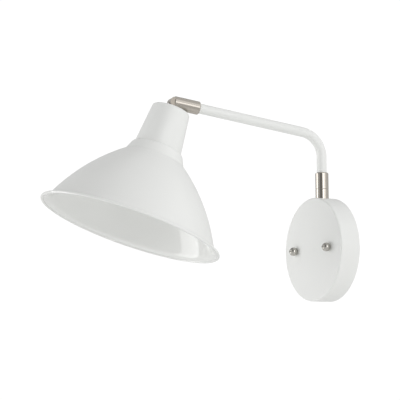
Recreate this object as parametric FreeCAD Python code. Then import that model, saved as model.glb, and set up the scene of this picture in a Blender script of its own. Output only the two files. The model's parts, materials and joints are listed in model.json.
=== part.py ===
import FreeCAD, Part
import math
import os

from FreeCAD import Placement, Rotation, Vector

# Swing arm wall lamp, in millimetres.
# Frame: the origin is the centre of the canopy's back, on the wall. +Z is up, and the
# lamp stands out from the wall along -Y. Every sub-part is one file in parts/.

# ---- driving dimensions ----------------------------------------------------------

# How the lamp is stored: the arm's swing and rise, and the tilt of the shade.
arm_swing = 8.3            # degrees, from straight out, towards -X
arm_rise = 9.0             # degrees, above level
shade_tilt = 19.7          # degrees, from hanging straight, away from the wall

# Clearances that tie one piece to the next.
running_gap = 0.03         # radial, a journal in its bore
thread_gap = 0.05          # radial, a screw in its thread
slide_gap = 0.06           # radial, a tube in its socket
hole_gap = 0.25            # radial, a screw or stud through a plain hole
face_gap = 0.10            # between faces that turn on each other
seat_gap = 0.02            # under a face cut to the curve it stands on
loose_gap = 0.5            # round a piece that only lies in a space
corner_bevel = 0.6         # of the height of a hexagon's corners, taken off at its ends

# Canopy, the round cover on the wall.
canopy_radius = 62.5
canopy_depth = 26.0
canopy_wall = 1.2
canopy_edge = 2.0          # rounding of the front edge

# Crossbar behind the canopy, its studs and the ball nuts on them.
crossbar_end_gap = 7.3      # from each end of the bar to the inside of the canopy
crossbar_width = 16.0
crossbar_end_round = 7.2
crossbar_thickness = 2.0
box_screw_spacing = 88.9   # the two screw lugs of a ceiling or wall box
box_slot_length = 9.0
box_slot_width = 4.5
crossbar_window = 22.0     # side of the square opening for the supply wires
window_rail = 3.4          # width of metal beside the opening
stud_spacing = 73.0
stud_radius = 2.0
stud_tip_chamfer = 0.4
lock_nut_land = 1.5        # from the stud to the flats of its nut
lock_nut_height = 3.0
ball_radius = 5.3
ball_centre = 3.9          # in front of the canopy's face
ball_button_radius = 1.5
ball_button_height = 0.5
ball_wall = 1.2            # metal left in front of the end of the stud
ground_screw_x = 25.0
ground_head_land = 1.46    # from the screw to the flats of its head
ground_head_height = 2.2
drive_slot_width = 0.9     # screwdriver slots
drive_slot_depth = 0.9

# Vertical swivel on top of the canopy.
post_offset = 11.0         # from the wall to the axis of the swivel
joint_wall = 2.0           # of the swivel and the barrel, round the arm tube
base_height = 11.0         # lower, fixed collar, above the canopy
sleeve_height = 20.0       # upper, turning sleeve
sleeve_chamfer = 1.0
seam_washer = 0.5
seam_washer_inset = 0.35   # of its edge, behind the sides of the joint
spindle_step = 1.0         # from the outside of the tube in to the spindle
spindle_wall = 1.5
spindle_drop = 9.5         # length below the lock nut's seat, inside the canopy
journal_length = 8.0
head_thickness = 1.5
thrust_washer = 0.5
stop_pin_radius = 0.75
stop_pin_seat = 2.5
stop_pin_rise = 1.0        # above the seam washer
stop_track_gap = 0.25      # round the pin, in the arc it runs in
swing_each_way = 90.0      # degrees, from straight out to the stop
pipe_nut_land = 2.0        # from a hollow thread to the flats of its nut
spindle_nut_height = 3.5
saddle_thickness = 2.5
saddle_land = 3.5          # from the spindle to the edge of the saddle washer
grub_radius = 1.5
grub_sink = 0.3
grub_key_flats = 1.5
grub_key_depth = 1.2

# Arm tube.
tube_radius = 6.0
tube_wall = 1.0
arm_corner_height = 139.0  # where the two centre lines of the tube would cross
bend_radius = 30.0
arm_reach = 192.4          # along the rising run, from that crossing to the knuckle pin
tube_seat_gap = 1.0        # between the end of the tube and the head of the spindle

# Knuckle between the arm and the shade.
barrel_back = 31.7         # behind the pin
barrel_front = 0.5         # full round of the barrel, in front of the pin
barrel_edge = 1.5          # rounding of the end that takes the tube
barrel_front_chamfer = 0.4
tube_engagement = 15.0
ear_radius = 6.2
ear_flat = 1.4             # milled off each side of the round bar to make the ears
slot_width = 6.4
slot_floor_gap = 1.6       # behind the tongue
tongue_inset = 0.2         # of the tongue's edge, inside the ears
knuckle_washer = 0.4
knuckle_screw_radius = 2.0
knuckle_head_radius = 3.2
knuckle_head_height = 1.6
knuckle_head_sink = 0.4    # of the head's seat, below the flat of the far ear
knuckle_skin = 0.8         # of metal over the tip of the screw in the near ear
spot_face_gap = 0.5        # round the head of the screw
tongue_lead_hole = 1.5
tongue_lead_web = 0.4      # between that hole and the hole for the screw

# Stem of the knuckle and what it clamps.
neck_gap = 0.8             # from the round of the barrel to the closed top of the neck
stem_radius = 5.0
stem_wall = 1.75
stem_length = 14.0
stem_floor = 1.0           # solid metal over the bore of the stem
stem_chamfer = 0.6
tooth_washer_land = 3.0
tooth_washer_thickness = 0.8
tooth_count = 12
tooth_gap = 1.2
stem_nut_height = 3.0

# Neck cup of the shade.
neck_wall = 1.0
neck_top_radius = 22.7
neck_edge = 2.6            # from the corner of the closed top to each end of its rounding
neck_edge_fullness = 0.38
neck_foot_radius = 28.3
neck_length = 51.0
neck_flange = 0.9          # turned-out foot, under the collar of the bell

# Bell of the shade, from the foot of the neck down and outwards.
bell_wall = 1.0
collar_shelf = 1.7         # flat ring round the foot of the neck
collar_step = 2.9          # from the neck out to the top of the cone
collar_round = 1.4         # height of the shelf's sloping edge
collar_flare = 4.8
collar_height = 10.8
bell_spread = 64.3
bell_height = 81.5
bell_crown = 6.1           # how far the arc stands out from its chord
lip_spread = 6.9
lip_height = 5.9
lip_sag = 0.9              # hollow of the flared lip
bead_radius = 1.65

# Lamp holder.
holder_step = 1.2          # from the body in to the cap
holder_cap_wall = 1.6
holder_cap_length = 17.0
holder_hub_wall = 2.5
holder_hub_length = 5.0
holder_wall = 5.5          # outside of the screw shell
holder_length = 34.0
holder_spigot = 3.5
holder_edge = 1.0
shell_radius = 13.3        # inside of the screw shell
shell_wall = 0.4
shell_length = 22.0
shell_recess = 2.0         # from the mouth of the holder to the edge of the shell
shell_shoulder = 1.0       # step inside the holder that the shell stands against
contact_length = 16.0
contact_width = 6.0
contact_thickness = 0.5
contact_rise = 3.5
contact_room = 0.5         # from the tip of the contact to the inner end of the shell
contact_button = 2.6
contact_round = 1.2
terminal_radius = 3.0
terminal_height = 2.6
terminal_shank = 1.2
terminal_depth = 6.0
terminal_ring = 10.5

# Leads inside the lamp.
lead_radius = 1.2
lead_side_gap = 0.8        # from a lead to the bore of the spindle
stem_lead_gap = 0.55       # from a lead to the bore of the stem
lead_bend = 8.0
holder_lead_bend = 1.6
holder_lead_drop = 0.8     # below the stem, to the first bend
holder_lead_slope = 2.0    # fall of the run between the two bends
connector_radius = 5.5
connector_tip_radius = 3.2
connector_length = 20.0
connector_spacing = 30.0
connector_mouth = -14.0    # height of the open end
connector_fork = 26.0      # from the open end up to where its lead turns down
connector_round = 1.2
ground_eye_land = 2.2      # from the screw to the edge of the ring terminal
ground_eye_thickness = 0.8
ground_tail_width = 3.0
ground_tail_length = 7.0
ground_side_gap = 1.7      # from the lead to the corners of the spindle's nut
ground_rise = 26.0         # height at which the lead turns towards the spindle
ground_end = 12.0          # below the spindle's nut, where the lead turns up again
ground_tip = 8.0

# ---- places worked out from them -------------------------------------------------

canopy_inner = canopy_radius - canopy_wall
crossbar_length = 2 * (canopy_inner - crossbar_end_gap)
stud_tip = canopy_depth + ball_centre + ball_radius - ball_wall - ball_button_height
lock_nut_flats = 2 * (stud_radius + lock_nut_land)
ground_head_flats = 2 * (stud_radius + ground_head_land)
ground_eye_radius = stud_radius + ground_eye_land

joint_radius = tube_radius + joint_wall
tube_socket = tube_radius + slide_gap
spindle_radius = tube_radius - spindle_step
spindle_bore = spindle_radius - spindle_wall
lead_spacing = 2 * (spindle_bore - lead_side_gap - lead_radius)
spindle_head = tube_radius - hole_gap
spindle_nut_flats = 2 * (spindle_radius + pipe_nut_land)
stop_pin_ring = (spindle_radius + joint_radius) / 2
base_top = canopy_radius + base_height
sleeve_foot = base_top + seam_washer
sleeve_top = sleeve_foot + sleeve_height
shoulder = sleeve_foot + journal_length
head_foot = shoulder + thrust_washer + face_gap
head_top = head_foot + head_thickness
tube_foot = head_top + tube_seat_gap
sleeve_grub = (tube_foot + sleeve_top) / 2
spindle_nut_top = canopy_inner - saddle_thickness
spindle_nut_foot = spindle_nut_top - spindle_nut_height
spindle_foot = spindle_nut_foot - spindle_drop

# Behind or below the knuckle pin, along the arm or along the axis of the shade.
ear_width = 2 * (joint_radius - ear_flat)
tongue_radius = ear_radius - tongue_inset
tongue_thickness = slot_width - 2 * (knuckle_washer + face_gap)
slot_depth = tongue_radius + slot_floor_gap
head_seat = ear_width / 2 - knuckle_head_sink
thread_end = ear_width / 2 - knuckle_skin
tube_end = barrel_back - tube_engagement
barrel_grub = -barrel_back + tube_engagement / 2
neck_top = joint_radius + neck_gap
stem_bore = stem_radius - stem_wall
stem_lead_spacing = 2 * (stem_bore - stem_lead_gap - lead_radius)
stem_foot = neck_top + stem_length
stem_nut_flats = 2 * (stem_radius + pipe_nut_land)
tooth_washer_top = neck_top + neck_wall
stem_nut_top = tooth_washer_top + tooth_washer_thickness
tongue_lead_offset = knuckle_screw_radius + tongue_lead_hole + tongue_lead_web
neck_foot = neck_top + neck_length
collar_top = neck_foot + collar_round
collar_top_radius = neck_foot_radius + collar_step
collar_foot = collar_top + collar_height
collar_foot_radius = collar_top_radius + collar_flare
bell_foot = collar_foot + bell_height
bell_foot_radius = collar_foot_radius + bell_spread
rim_depth = bell_foot + lip_height
rim_radius = bell_foot_radius + lip_spread
holder_cap_top = stem_nut_top + stem_nut_height + loose_gap
holder_top = holder_cap_top + holder_cap_length
holder_mouth = holder_top + holder_length
holder_radius = shell_radius + shell_wall + holder_wall
holder_cap_radius = holder_radius - holder_step
holder_hub_radius = stem_radius + holder_hub_wall
terminal_seat = holder_top - holder_spigot
shell_mouth = holder_mouth - shell_recess
shell_top = shell_mouth - shell_length
contact_seat = shell_top - contact_room - contact_rise

pivot_y = -post_offset - arm_reach * math.cos(math.radians(arm_rise))
pivot_z = arm_corner_height + arm_reach * math.sin(math.radians(arm_rise))

up = Vector(0, 0, 1)
origin = Vector(0, 0, 0)
swing_centre = Vector(0, -post_offset, 0)
swing = Placement(origin, Rotation(up, -arm_swing), swing_centre)
pivot = Placement(Vector(0, pivot_y, pivot_z), Rotation())
along_arm = Placement(origin, Rotation(Vector(1, 0, 0), 90 - arm_rise))
tilted = Placement(origin, Rotation(Vector(1, 0, 0), -shade_tilt))


# ---- helpers ---------------------------------------------------------------------

def save(name, solids):
    """Write one sub-part, made of one solid or of several separate ones."""
    if not isinstance(solids, list):
        solids = [solids]
    loose = []
    for shape in solids:
        loose.extend(shape.Solids)
    shape = loose[0] if len(loose) == 1 else Part.makeCompound(loose)
    shape.exportStep("parts/" + name + ".step")
    print(name, len(loose), "solid", round(shape.Volume, 2), "mm3", shape.isValid())


def moved(shape, placement):
    """A copy of the shape, carried from its own frame by the placement."""
    copy = shape.copy()
    copy.Placement = placement.multiply(copy.Placement)
    return copy


def in_canopy(shape):
    """From a frame whose +Z points out of the wall and whose +Y is up."""
    return moved(shape, Placement(origin, Rotation(Vector(1, 0, 0), 90)))


def on_post(shape):
    """From a frame whose +Z is the axis of the swivel, for what stands still."""
    return moved(shape, Placement(swing_centre, Rotation()))


def on_swing(shape):
    """The same frame, for what turns with the arm."""
    return moved(on_post(shape), swing)


def on_arm(shape):
    """From a frame at the knuckle pin whose +Z runs out along the arm."""
    return moved(shape, swing.multiply(pivot).multiply(along_arm))


def on_shade(shape):
    """From a frame at the knuckle pin whose -Z is the axis of the shade."""
    return moved(shape, swing.multiply(pivot).multiply(tilted))


def rod(radius, low, high, x=0.0, y=0.0):
    return Part.makeCylinder(radius, high - low, Vector(x, y, low))


def ring(outer, inner, low, high, x=0.0, y=0.0):
    return rod(outer, low, high, x, y).cut(rod(inner, low, high, x, y))


def cross_rod(radius, low, high):
    """A rod along X through the origin."""
    return Part.makeCylinder(radius, high - low, Vector(low, 0, 0), Vector(1, 0, 0))


def block(x, y, low, high):
    """A block centred on the Z axis."""
    return Part.makeBox(x, y, high - low, Vector(-x / 2, -y / 2, low))


def hexagon(flats, low, high):
    """A hexagonal prism on the Z axis, with its corners taken off."""
    corner = flats / math.sqrt(3)
    points = []
    for i in range(7):
        turn = math.radians(60 * i + 30)
        points.append(Vector(corner * math.cos(turn), corner * math.sin(turn), low))
    prism = Part.Face(Part.makePolygon(points)).extrude(Vector(0, 0, high - low))
    dome = rod(corner, low, high)
    bevel = (corner - flats / 2) * corner_bevel
    rims = [e for e in dome.Edges if e.Curve.TypeId == "Part::GeomCircle"]
    return prism.common(dome.makeChamfer(bevel, rims))


def widest_rim(shape, height):
    """The edges of the largest circle of the shape at one height."""
    rims = [e for e in shape.Edges if e.Curve.TypeId == "Part::GeomCircle"
            and abs(e.BoundBox.ZMin - height) < 1e-6 and abs(e.BoundBox.ZMax - height) < 1e-6]
    widest = max(e.Curve.Radius for e in rims)
    return [e for e in rims if abs(e.Curve.Radius - widest) < 1e-6]


def chamfered(shape, size, height):
    return shape.makeChamfer(size, widest_rim(shape, height))


def rounded(shape, size, height):
    return shape.makeFillet(size, widest_rim(shape, height))


def line(a, b):
    return Part.makeLine(Vector(a[0], 0, a[1]), Vector(b[0], 0, b[1]))


def bowed(a, b, sag):
    """An arc from a to b that stands out from its chord by the sag."""
    start = Vector(a[0], 0, a[1])
    end = Vector(b[0], 0, b[1])
    side = (end - start).cross(Vector(0, 1, 0)).normalize()
    return Part.Arc(start, (start + end) * 0.5 + side * sag, end).toShape()


def spun(edges, wall):
    """Spin a sheet about the Z axis: its outer outline, and its wall on the inside."""
    band = Part.Wire(edges).makeOffset2D(-wall, join=2, fill=True, openResult=True)
    return band.revolve(origin, up, 360)


def lead(points, radius, bend):
    """A round wire along straight runs joined by tangent arcs."""
    points = [Vector(*p) for p in points]
    edges = []
    start = points[0]
    for before, corner, after in zip(points, points[1:], points[2:]):
        back = (before - corner).normalize()
        ahead = (after - corner).normalize()
        half = back.getAngle(ahead) / 2
        reach = bend / math.tan(half)
        first = corner + back * reach
        last = corner + ahead * reach
        inward = (back + ahead).normalize()
        middle = corner + inward * (bend / math.sin(half) - bend)
        edges.append(Part.makeLine(start, first))
        edges.append(Part.Arc(first, middle, last).toShape())
        start = last
    edges.append(Part.makeLine(start, points[-1]))
    end = Part.Wire(Part.makeCircle(radius, points[0], points[1] - points[0]))
    return Part.Wire(edges).makePipeShell([end], True, True)


# ---- canopy and crossbar ---------------------------------------------------------

def canopy_cover():
    floor = canopy_depth - canopy_wall
    outer = rounded(rod(canopy_radius, 0, canopy_depth), canopy_edge, canopy_depth)
    cup = outer.cut(rounded(rod(canopy_inner, 0, floor), canopy_edge - canopy_wall, floor))
    for side in (-1, 1):
        x = side * stud_spacing / 2
        cup = cup.cut(rod(stud_radius + hole_gap, floor, canopy_depth, x))
    top_hole = Part.makeCylinder(spindle_radius + hole_gap, canopy_radius,
                                 Vector(0, 0, post_offset), Vector(0, 1, 0))
    save("canopy_cover", in_canopy(cup.cut(top_hole)))


def mounting_crossbar():
    bar = block(crossbar_length, crossbar_width, 0, crossbar_thickness)
    corners = [e for e in bar.Edges if abs(e.Length - crossbar_thickness) < 1e-6]
    bar = bar.makeFillet(crossbar_end_round, corners)
    frame = crossbar_window + 2 * window_rail
    bar = bar.fuse(block(frame, frame, 0, crossbar_thickness)).removeSplitter()
    bar = bar.cut(block(crossbar_window, crossbar_window, 0, crossbar_thickness))
    for side in (-1, 1):
        x = side * box_screw_spacing / 2
        straight = (box_slot_length - box_slot_width) / 2
        slot = block(2 * straight, box_slot_width, 0, crossbar_thickness)
        slot.translate(Vector(x, 0, 0))
        for end in (-1, 1):
            slot = slot.fuse(rod(box_slot_width / 2, 0, crossbar_thickness, x + end * straight))
        bar = bar.cut(slot.removeSplitter())
        bar = bar.cut(rod(stud_radius + thread_gap, 0, crossbar_thickness, side * stud_spacing / 2))
    bar = bar.cut(rod(stud_radius + thread_gap, 0, crossbar_thickness, ground_screw_x))
    save("mounting_crossbar", in_canopy(bar.removeSplitter()))


def canopy_studs():
    studs = []
    for side in (-1, 1):
        stud = chamfered(rod(stud_radius, 0, stud_tip), stud_tip_chamfer, stud_tip)
        stud.translate(Vector(side * stud_spacing / 2, 0, 0))
        studs.append(in_canopy(stud))
    save("canopy_studs", studs)


def stud_lock_nuts():
    nuts = []
    for side in (-1, 1):
        nut = hexagon(lock_nut_flats, crossbar_thickness, crossbar_thickness + lock_nut_height)
        nut = nut.cut(rod(stud_radius + thread_gap, 0, canopy_depth))
        nut.translate(Vector(side * stud_spacing / 2, 0, 0))
        nuts.append(in_canopy(nut))
    save("stud_lock_nuts", nuts)


def canopy_ball_nuts():
    centre = canopy_depth + ball_centre
    nuts = []
    for side in (-1, 1):
        ball = Part.makeSphere(ball_radius, Vector(0, 0, centre))
        ball = ball.common(block(4 * ball_radius, 4 * ball_radius, canopy_depth, centre + ball_radius))
        button = rod(ball_button_radius, centre, centre + ball_radius + ball_button_height)
        button = chamfered(button, ball_button_height / 2, centre + ball_radius + ball_button_height)
        ball = ball.fuse(button).cut(rod(stud_radius + thread_gap, 0, stud_tip + face_gap))
        ball.translate(Vector(side * stud_spacing / 2, 0, 0))
        nuts.append(in_canopy(ball))
    save("canopy_ball_nuts", nuts)


def drive_slot(length, top):
    """The slot for a screwdriver, as a tool, under a height on the Z axis."""
    return block(length, drive_slot_width, top - drive_slot_depth, top)


def ground_screw():
    seat = crossbar_thickness + ground_eye_thickness
    top = seat + ground_head_height
    head = hexagon(ground_head_flats, seat, top).cut(drive_slot(2 * ground_head_flats, top))
    screw = head.fuse(rod(stud_radius, 0, seat)).removeSplitter()
    screw.translate(Vector(ground_screw_x, 0, 0))
    save("ground_screw", in_canopy(screw))


# ---- swivel ----------------------------------------------------------------------

def canopy_barrel(radius):
    """The round side of the canopy, in the swivel's frame, as a tool."""
    return Part.makeCylinder(radius, canopy_depth + 2 * post_offset,
                             Vector(0, post_offset + canopy_depth, 0), Vector(0, -1, 0))


def swivel_base():
    collar = rod(joint_radius, 0, base_top).cut(canopy_barrel(canopy_radius + seat_gap))
    collar = collar.cut(rod(spindle_radius + thread_gap, 0, base_top))
    pin_hole = rod(stop_pin_radius, base_top - stop_pin_seat, base_top, 0, stop_pin_ring)
    save("swivel_base", on_post(collar.cut(pin_hole)))


def swivel_seam_washer():
    washer = ring(joint_radius - seam_washer_inset, spindle_radius + hole_gap,
                  base_top, sleeve_foot - face_gap)
    pin_hole = rod(stop_pin_radius + thread_gap, base_top, sleeve_foot, 0, stop_pin_ring)
    save("swivel_seam_washer", on_post(washer.cut(pin_hole)))


def swivel_stop_pin():
    pin = rod(stop_pin_radius, base_top - stop_pin_seat, sleeve_foot + stop_pin_rise, 0, stop_pin_ring)
    save("swivel_stop_pin", on_post(pin))


def swivel_spindle():
    tube = rod(spindle_radius, spindle_foot, head_top)
    head = rod(spindle_head, head_foot, head_top)
    spindle = tube.fuse(head).cut(rod(spindle_bore, spindle_foot, head_top)).removeSplitter()
    save("swivel_spindle", on_post(spindle))


def saddle_washer():
    washer = ring(spindle_radius + saddle_land, spindle_radius + hole_gap,
                  spindle_nut_top, canopy_inner)
    save("spindle_saddle_washer", on_post(washer.common(canopy_barrel(canopy_inner - seat_gap))))


def spindle_lock_nut():
    nut = hexagon(spindle_nut_flats, spindle_nut_foot, spindle_nut_top)
    nut = nut.cut(rod(spindle_radius + thread_gap, spindle_nut_foot, spindle_nut_top))
    save("spindle_lock_nut", on_post(nut))


def stop_track():
    """The arc in which the stop pin runs, as a tool centred on straight out."""
    half = stop_pin_radius + stop_track_gap
    margin = math.degrees(math.asin((stop_pin_radius + face_gap) / stop_pin_ring))
    sweep = 2 * (swing_each_way + margin)
    track = Part.makeCylinder(stop_pin_ring + half, stop_pin_rise + stop_track_gap,
                              Vector(0, 0, sleeve_foot), up, sweep)
    track = track.cut(rod(stop_pin_ring - half, sleeve_foot, shoulder))
    track.rotate(origin, up, 90 - sweep / 2)
    return track


def grub_hole(height):
    """A threaded hole through the -X side of a joint, as a tool."""
    return Part.makeCylinder(grub_radius + thread_gap, joint_radius, Vector(0, 0, height),
                             Vector(-1, 0, 0))


def swivel_sleeve():
    sleeve = chamfered(rod(joint_radius, sleeve_foot, sleeve_top), sleeve_chamfer, sleeve_top)
    sleeve = sleeve.cut(rod(spindle_radius + running_gap, sleeve_foot, shoulder))
    sleeve = sleeve.cut(rod(tube_socket, shoulder, sleeve_top))
    save("swivel_sleeve", on_swing(sleeve.cut(stop_track()).cut(grub_hole(sleeve_grub))))


def swivel_thrust_washer():
    low = shoulder + face_gap / 2
    washer = ring(spindle_head, spindle_radius + hole_gap, low, low + thrust_washer)
    save("swivel_thrust_washer", on_swing(washer))


def grub(height):
    """A set screw that bears on the tube from the -X side, with a hexagon socket."""
    inner = -tube_radius - seat_gap
    outer = -joint_radius + grub_sink
    key = hexagon(grub_key_flats, 0, grub_key_depth)
    key.rotate(origin, Vector(0, 1, 0), 90)
    key.translate(Vector(outer, 0, 0))
    screw = cross_rod(grub_radius, outer, inner).cut(key)
    screw.translate(Vector(0, 0, height))
    return screw


def set_screws():
    save("sleeve_set_screw", on_swing(grub(sleeve_grub)))
    save("barrel_set_screw", on_arm(grub(barrel_grub)))


# ---- arm -------------------------------------------------------------------------

def arm_path(offset, low, back):
    """Centre line of the arm, from a height on the swivel to a distance behind the pin."""
    rise = math.radians(arm_rise)
    far = arm_reach - back
    corner = (offset, 0, arm_corner_height)
    end = (offset, -far * math.cos(rise), arm_corner_height + far * math.sin(rise))
    return [(offset, 0, low), corner, end]


def arm_tube():
    outer = lead(arm_path(0, tube_foot, tube_end), tube_radius, bend_radius)
    inner = lead(arm_path(0, tube_foot, tube_end), tube_radius - tube_wall, bend_radius)
    save("arm_tube", on_swing(outer.cut(inner)))


def arm_leads():
    pair = []
    for side in (-1, 1):
        path = arm_path(side * lead_spacing / 2, tube_foot, slot_depth + loose_gap)
        pair.append(on_swing(lead(path, lead_radius, bend_radius)))
    save("arm_leads", pair)


# ---- knuckle ---------------------------------------------------------------------

def knuckle_barrel():
    body = rounded(rod(joint_radius, -barrel_back, barrel_front), barrel_edge, -barrel_back)
    body = chamfered(body, barrel_front_chamfer, barrel_front)
    ears = rod(joint_radius, -slot_depth, ear_radius)
    ears = ears.common(block(ear_width, 2 * joint_radius, -slot_depth, ear_radius))
    round_end = cross_rod(ear_radius, -joint_radius, joint_radius)
    body = body.fuse(ears.common(round_end))
    body = body.cut(block(slot_width, 3 * joint_radius, -slot_depth, 2 * ear_radius))
    body = body.cut(cross_rod(knuckle_head_radius + spot_face_gap, -joint_radius, -head_seat))
    body = body.cut(cross_rod(knuckle_screw_radius + thread_gap, -joint_radius, thread_end + face_gap))
    body = body.cut(rod(tube_socket, -barrel_back, -tube_end + loose_gap))
    body = body.cut(rod(spindle_bore, -tube_end, -slot_depth))
    save("knuckle_barrel", on_arm(body.cut(grub_hole(barrel_grub)).removeSplitter()))


def knuckle_screw():
    """Its head is sunk in the far ear, and its thread ends inside the near one."""
    head = rod(knuckle_head_radius, head_seat, head_seat + knuckle_head_height)
    head = rounded(head, knuckle_head_height / 2, head_seat + knuckle_head_height)
    head = head.cut(drive_slot(2 * knuckle_head_radius, head_seat + knuckle_head_height))
    screw = head.fuse(rod(knuckle_screw_radius, -thread_end, head_seat)).removeSplitter()
    screw.rotate(origin, Vector(0, 1, 0), -90)
    save("knuckle_screw", on_arm(screw))


def knuckle_washers():
    pair = []
    for side in (-1, 1):
        middle = side * (tongue_thickness + slot_width) / 4
        low = middle - knuckle_washer / 2
        disc = cross_rod(tongue_radius - hole_gap, low, low + knuckle_washer)
        disc = disc.cut(cross_rod(knuckle_screw_radius + hole_gap, low, low + knuckle_washer))
        pair.append(on_arm(disc))
    save("knuckle_friction_washers", pair)


def knuckle_tongue():
    disc = cross_rod(tongue_radius, -tongue_thickness / 2, tongue_thickness / 2)
    web = block(tongue_thickness, 2 * tongue_radius, -neck_top, 0)
    stem = chamfered(rod(stem_radius, -stem_foot, -neck_top), stem_chamfer, -stem_foot)
    bore_top = -neck_top - stem_floor
    tongue = disc.fuse(web).fuse(stem).cut(rod(stem_bore, -stem_foot, bore_top))
    lead_hole = rod(tongue_lead_hole, bore_top - stem_bore, tongue_radius, 0, tongue_lead_offset)
    pin_hole = cross_rod(knuckle_screw_radius + running_gap, -tongue_thickness, tongue_thickness)
    save("knuckle_tongue", on_shade(tongue.cut(lead_hole).cut(pin_hole).removeSplitter()))


def stem_tooth_washer():
    top = -tooth_washer_top
    radius = stem_radius + tooth_washer_land
    washer = ring(radius, stem_radius + hole_gap, -stem_nut_top, top)
    for i in range(tooth_count):
        notch = block(tooth_gap, tooth_washer_land, -stem_nut_top, top)
        notch.translate(Vector(0, radius, 0))
        notch.rotate(origin, up, 360 / tooth_count * i)
        washer = washer.cut(notch)
    save("stem_tooth_washer", on_shade(washer))


def stem_lock_nut():
    foot = -stem_nut_top - stem_nut_height
    nut = hexagon(stem_nut_flats, foot, -stem_nut_top)
    save("stem_lock_nut", on_shade(nut.cut(rod(stem_radius + thread_gap, foot, -stem_nut_top))))


# ---- shade -----------------------------------------------------------------------

def neck_cup():
    corner = Vector(neck_top_radius, 0, -neck_top)
    down = Vector(neck_foot_radius - neck_top_radius, 0, -neck_length).normalize()
    flat_end = corner - Vector(neck_edge, 0, 0)
    side_start = corner + down * neck_edge
    inward = (flat_end + side_start) * 0.5 - corner
    foot = Vector(neck_foot_radius, 0, -neck_foot)
    turn = foot - Vector(0, 0, bell_wall + seat_gap)
    edges = [
        Part.makeLine(Vector(stem_radius + hole_gap, 0, -neck_top), flat_end),
        Part.Arc(flat_end, corner + inward * neck_edge_fullness, side_start).toShape(),
        Part.makeLine(side_start, foot),
        Part.makeLine(foot, turn),
        Part.makeLine(turn, turn + Vector(neck_flange, 0, 0))]
    save("neck_cup", on_shade(spun(edges, neck_wall)))


def shade_bell():
    seat = (neck_foot_radius + thread_gap, -neck_foot)
    shelf_end = (neck_foot_radius + collar_shelf, -neck_foot)
    cone_top = (collar_top_radius, -collar_top)
    cone_foot = (collar_foot_radius, -collar_foot)
    lip_top = (bell_foot_radius, -bell_foot)
    lip_end = (rim_radius - bead_radius / 2, -rim_depth + bead_radius / 2)
    edges = [
        line(seat, shelf_end),
        line(shelf_end, cone_top),
        line(cone_top, cone_foot),
        bowed(cone_foot, lip_top, bell_crown),
        bowed(lip_top, lip_end, -lip_sag)]
    bead = Part.makeTorus(rim_radius, bead_radius, Vector(0, 0, -rim_depth))
    save("shade_bell", on_shade(spun(edges, bell_wall).fuse(bead).removeSplitter()))


# ---- lamp holder -----------------------------------------------------------------

def holder_cap():
    top = -holder_cap_top
    low = top - holder_cap_length
    shell = rod(holder_cap_radius, low, top)
    shell = chamfered(shell, holder_cap_wall, top)
    shell = shell.cut(chamfered(rod(holder_cap_radius - holder_cap_wall, low, top - holder_cap_wall),
                                holder_cap_wall / 2, top - holder_cap_wall))
    shell = shell.fuse(rod(holder_hub_radius, top - holder_hub_length, top))
    shell = shell.cut(rod(stem_radius + thread_gap, low, top))
    save("holder_cap", on_shade(shell.removeSplitter()))


def holder_body():
    top = -holder_top
    mouth = -holder_mouth
    body = chamfered(rod(holder_radius, mouth, top), holder_edge, mouth)
    spigot = rod(holder_cap_radius - holder_cap_wall - thread_gap, top, top + holder_spigot)
    body = body.fuse(spigot)
    cavity = shell_radius + shell_wall + slide_gap
    body = body.cut(rod(cavity, mouth, -shell_top))
    body = body.cut(rod(shell_radius - shell_shoulder, -shell_top, -contact_seat))
    body = body.cut(block(contact_length + loose_gap, contact_width + loose_gap, -contact_seat,
                          -contact_seat + contact_thickness + face_gap))
    for side in (-1, 1):
        body = body.cut(rod(terminal_shank + thread_gap, -terminal_seat - terminal_depth - loose_gap,
                            -terminal_seat, side * terminal_ring))
    save("holder_body", on_shade(body.removeSplitter()))


def screw_shell():
    shell = ring(shell_radius + shell_wall, shell_radius, -shell_mouth, -shell_top)
    save("holder_screw_shell", on_shade(shell))


def centre_contact():
    low = -contact_seat
    strip = block(contact_length, contact_width, low, low + contact_thickness)
    button = rounded(rod(contact_button, low - contact_rise, low), contact_round, low - contact_rise)
    save("holder_centre_contact", on_shade(strip.fuse(button).removeSplitter()))


def terminal_screws():
    top = -terminal_seat + terminal_height
    pair = []
    for side in (-1, 1):
        head = rod(terminal_radius, -terminal_seat, top).cut(drive_slot(2 * terminal_radius, top))
        shank = rod(terminal_shank, -terminal_seat - terminal_depth, -terminal_seat)
        screw = head.fuse(shank).removeSplitter()
        screw.translate(Vector(side * terminal_ring, 0, 0))
        pair.append(on_shade(screw))
    save("holder_terminal_screws", pair)


# ---- leads inside ----------------------------------------------------------------

def holder_leads():
    out = terminal_ring - terminal_radius - lead_radius - face_gap
    start = -neck_top - stem_floor - loose_gap
    turn = -stem_foot - holder_lead_drop
    pair = []
    for side in (-1, 1):
        x = side * stem_lead_spacing / 2
        path = [(x, 0, start), (x, 0, turn), (side * out, 0, turn - holder_lead_slope),
                (side * out, 0, -terminal_seat + face_gap)]
        pair.append(on_shade(lead(path, lead_radius, holder_lead_bend)))
    save("holder_leads", pair)


def canopy_leads():
    fork = spindle_foot - lead_bend
    pair = []
    for side in (-1, 1):
        x = side * lead_spacing / 2
        out = side * connector_spacing / 2
        path = [(x, 0, head_top), (x, 0, fork), (out, 0, connector_mouth + connector_fork),
                (out, 0, connector_mouth)]
        pair.append(on_post(lead(path, lead_radius, lead_bend)))
    save("canopy_leads", pair)


def wire_connectors():
    tip = connector_mouth - connector_length
    pair = []
    for side in (-1, 1):
        cone = Part.makeCone(connector_tip_radius, connector_radius, connector_length, Vector(0, 0, tip))
        cone = rounded(cone, connector_round, tip)
        cone.translate(Vector(side * connector_spacing / 2, 0, 0))
        pair.append(on_post(cone))
    save("wire_connectors", pair)


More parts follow.
